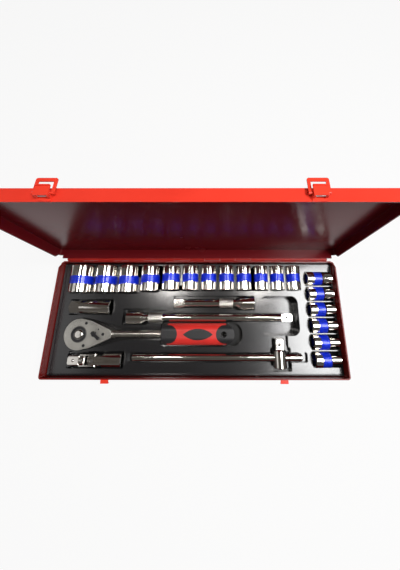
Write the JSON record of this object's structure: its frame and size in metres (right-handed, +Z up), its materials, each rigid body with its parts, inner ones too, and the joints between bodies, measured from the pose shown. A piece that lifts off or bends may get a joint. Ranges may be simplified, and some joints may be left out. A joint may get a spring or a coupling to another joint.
{
  "type": "socket wrench set",
  "caption": "Socket wrench set lying in the formed tray of a hinged red steel case, with a reversible ratchet, extensions, universal joint and sliding T bar.",
  "frame": {"origin": "centre of the case base at its underside", "axes": "+X along the case to the right, +Y towards the hinge at the back, +Z up"},
  "size_m": [0.435, 0.2169, 0.2186],
  "materials": {
    "case_paint": "gloss enamel over sheet steel",
    "latch_paint": "gloss enamel on stamped steel",
    "tray_plastic": "glossy vacuum-formed sheet",
    "chrome_socket": "bright chrome with a coloured band",
    "chrome": "bright chrome",
    "dark_steel": "blackened steel",
    "steel_pin": "plain steel",
    "grip_red": "soft over-mould",
    "grip_black": "soft over-mould",
    "insert_rubber": "soft rubber"
  },
  "bodies": {
    "root": {"base_shell": "case_paint", "hinge_base_leaves": "case_paint", "hinge_pins": "steel_pin", "base_rivets": "case_paint", "latch_catches": "latch_paint", "tool_tray": "tray_plastic"},
    "lid": {"lid_shell": "case_paint", "hinge_lid_leaves": "case_paint", "lid_rivets": "case_paint", "latch_brackets": "latch_paint", "latch_pins": "steel_pin"},
    "lever_left": {"latch_lever_left": "latch_paint"},
    "bail_left": {"latch_bail_left": "latch_paint"},
    "lever_right": {"latch_lever_right": "latch_paint"},
    "bail_right": {"latch_bail_right": "latch_paint"},
    "ratchet": {"ratchet_body": "chrome", "ratchet_cover": "chrome", "cover_screws": "dark_steel", "grip_core": "grip_black", "grip_overmould": "grip_red"},
    "drive_gear": {"ratchet_gear": "dark_steel", "gear_ring": "dark_steel", "drive_ball": "steel_pin", "button_spring": "steel_pin"},
    "pawl": {"ratchet_pawl": "dark_steel"},
    "selector": {"selector_lever": "dark_steel"},
    "button": {"release_button": "chrome"},
    "universal_joint": {"ujoint_socket_yoke": "chrome"},
    "cross": {"ujoint_cross": "dark_steel"},
    "drive_yoke": {"ujoint_drive_yoke": "chrome", "ujoint_ball": "steel_pin"},
    "sliding_bar": {"tbar_rod": "chrome", "tbar_rod_balls": "steel_pin"},
    "t_head": {"tbar_head": "chrome", "tbar_head_ball": "steel_pin"},
    "plug_socket": {"spark_plug_socket": "chrome", "spark_plug_insert": "insert_rubber"},
    "short_extension": {"extension_short": "chrome", "extension_short_ball": "steel_pin"},
    "long_extension": {"extension_long": "chrome", "extension_long_ball": "steel_pin"},
    "socket_27": {"socket_27": "chrome_socket"},
    "socket_24": {"socket_24": "chrome_socket"},
    "socket_23": {"socket_23": "chrome_socket"},
    "socket_22": {"socket_22": "chrome_socket"},
    "socket_21": {"socket_21": "chrome_socket"},
    "socket_20": {"socket_20": "chrome_socket"},
    "socket_19": {"socket_19": "chrome_socket"},
    "socket_18": {"socket_18": "chrome_socket"},
    "socket_17": {"socket_17": "chrome_socket"},
    "socket_16": {"socket_16": "chrome_socket"},
    "socket_15": {"socket_15": "chrome_socket"},
    "socket_14": {"socket_14": "chrome_socket"},
    "socket_13": {"socket_13": "chrome_socket"},
    "socket_12": {"socket_12": "chrome_socket"},
    "socket_11": {"socket_11": "chrome_socket"},
    "socket_10": {"socket_10": "chrome_socket"},
    "socket_09": {"socket_09": "chrome_socket"},
    "socket_08": {"socket_08": "chrome_socket"}
  },
  "joints": [
    {"name": "lid_hinge", "type": "hinge", "parent": "root", "child": "lid", "pos_m": [0, 0.087, 0.0422], "axis": [-1, 0, 0], "range_deg": [-95.4, 0]},
    {"name": "lever_left_hinge", "type": "hinge", "parent": "lid", "child": "lever_left", "pos_m": [-0.126, 0.10809, 0.21538], "axis": [1, 0, 0], "range_deg": [0, 100]},
    {"name": "bail_left_hinge", "type": "hinge", "parent": "lever_left", "child": "bail_left", "pos_m": [-0.126, 0.11106, 0.2149], "axis": [-1, 0, 0], "range_deg": [-180, 0]},
    {"name": "lever_right_hinge", "type": "hinge", "parent": "lid", "child": "lever_right", "pos_m": [0.126, 0.10809, 0.21538], "axis": [1, 0, 0], "range_deg": [0, 100]},
    {"name": "bail_right_hinge", "type": "hinge", "parent": "lever_right", "child": "bail_right", "pos_m": [0.126, 0.11106, 0.2149], "axis": [-1, 0, 0], "range_deg": [-180, 0]},
    {"name": "ratchet_lift", "type": "slide", "parent": "root", "child": "ratchet", "axis": [0, 0, 1], "range_m": [0, 0.06]},
    {"name": "gear_spin", "type": "hinge", "parent": "ratchet", "child": "drive_gear", "pos_m": [-0.172, -0.025, 0.028], "axis": [0, 0, 1], "continuous": true},
    {"name": "selector_turn", "type": "hinge", "parent": "ratchet", "child": "selector", "pos_m": [-0.149, -0.025, 0.038], "axis": [0, 0, 1], "range_deg": [0, 80]},
    {"name": "pawl_rock", "type": "hinge", "parent": "ratchet", "child": "pawl", "pos_m": [-0.149, -0.025, 0.03], "axis": [0, 0, 1], "range_deg": [0, 10]},
    {"name": "button_press", "type": "slide", "parent": "drive_gear", "child": "button", "axis": [0, 0, -1], "range_m": [0, 0.0025], "stiffness_N_per_m": 400, "springref_m": -0.002, "deforming": ["button_spring"]},
    {"name": "universal_joint_lift", "type": "slide", "parent": "root", "child": "universal_joint", "axis": [0, 0, 1], "range_m": [0, 0.06]},
    {"name": "cross_turn", "type": "hinge", "parent": "universal_joint", "child": "cross", "pos_m": [-0.1485, -0.061, 0.028], "axis": [0, 0, 1], "range_deg": [-5, 5]},
    {"name": "drive_yoke_tilt", "type": "hinge", "parent": "cross", "child": "drive_yoke", "pos_m": [-0.1485, -0.061, 0.028], "axis": [0, 1, 0], "range_deg": [0, 35]},
    {"name": "sliding_bar_lift", "type": "slide", "parent": "root", "child": "sliding_bar", "axis": [0, 0, 1], "range_m": [0, 0.06]},
    {"name": "t_head_slide", "type": "slide", "parent": "sliding_bar", "child": "t_head", "axis": [1, 0, 0], "range_m": [-0.003, 0.001]},
    {"name": "plug_socket_lift", "type": "slide", "parent": "root", "child": "plug_socket", "axis": [0, 0, 1], "range_m": [0, 0.06]},
    {"name": "short_extension_lift", "type": "slide", "parent": "root", "child": "short_extension", "axis": [0, 0, 1], "range_m": [0, 0.06]},
    {"name": "long_extension_lift", "type": "slide", "parent": "root", "child": "long_extension", "axis": [0, 0, 1], "range_m": [0, 0.06]},
    {"name": "socket_27_lift", "type": "slide", "parent": "root", "child": "socket_27", "axis": [0, 0, 1], "range_m": [0, 0.06]},
    {"name": "socket_24_lift", "type": "slide", "parent": "root", "child": "socket_24", "axis": [0, 0, 1], "range_m": [0, 0.06]},
    {"name": "socket_23_lift", "type": "slide", "parent": "root", "child": "socket_23", "axis": [0, 0, 1], "range_m": [0, 0.06]},
    {"name": "socket_22_lift", "type": "slide", "parent": "root", "child": "socket_22", "axis": [0, 0, 1], "range_m": [0, 0.06]},
    {"name": "socket_21_lift", "type": "slide", "parent": "root", "child": "socket_21", "axis": [0, 0, 1], "range_m": [0, 0.06]},
    {"name": "socket_20_lift", "type": "slide", "parent": "root", "child": "socket_20", "axis": [0, 0, 1], "range_m": [0, 0.06]},
    {"name": "socket_19_lift", "type": "slide", "parent": "root", "child": "socket_19", "axis": [0, 0, 1], "range_m": [0, 0.06]},
    {"name": "socket_18_lift", "type": "slide", "parent": "root", "child": "socket_18", "axis": [0, 0, 1], "range_m": [0, 0.06]},
    {"name": "socket_17_lift", "type": "slide", "parent": "root", "child": "socket_17", "axis": [0, 0, 1], "range_m": [0, 0.06]},
    {"name": "socket_16_lift", "type": "slide", "parent": "root", "child": "socket_16", "axis": [0, 0, 1], "range_m": [0, 0.06]},
    {"name": "socket_15_lift", "type": "slide", "parent": "root", "child": "socket_15", "axis": [0, 0, 1], "range_m": [0, 0.06]},
    {"name": "socket_14_lift", "type": "slide", "parent": "root", "child": "socket_14", "axis": [0, 0, 1], "range_m": [0, 0.06]},
    {"name": "socket_13_lift", "type": "slide", "parent": "root", "child": "socket_13", "axis": [0, 0, 1], "range_m": [0, 0.06]},
    {"name": "socket_12_lift", "type": "slide", "parent": "root", "child": "socket_12", "axis": [0, 0, 1], "range_m": [0, 0.06]},
    {"name": "socket_11_lift", "type": "slide", "parent": "root", "child": "socket_11", "axis": [0, 0, 1], "range_m": [0, 0.06]},
    {"name": "socket_10_lift", "type": "slide", "parent": "root", "child": "socket_10", "axis": [0, 0, 1], "range_m": [0, 0.06]},
    {"name": "socket_09_lift", "type": "slide", "parent": "root", "child": "socket_09", "axis": [0, 0, 1], "range_m": [0, 0.06]},
    {"name": "socket_08_lift", "type": "slide", "parent": "root", "child": "socket_08", "axis": [0, 0, 1], "range_m": [0, 0.06]}
  ],
  "couplings": [
    {"joint": "pawl_rock", "follows": "selector_turn", "ratio": 0.125}
  ]
}
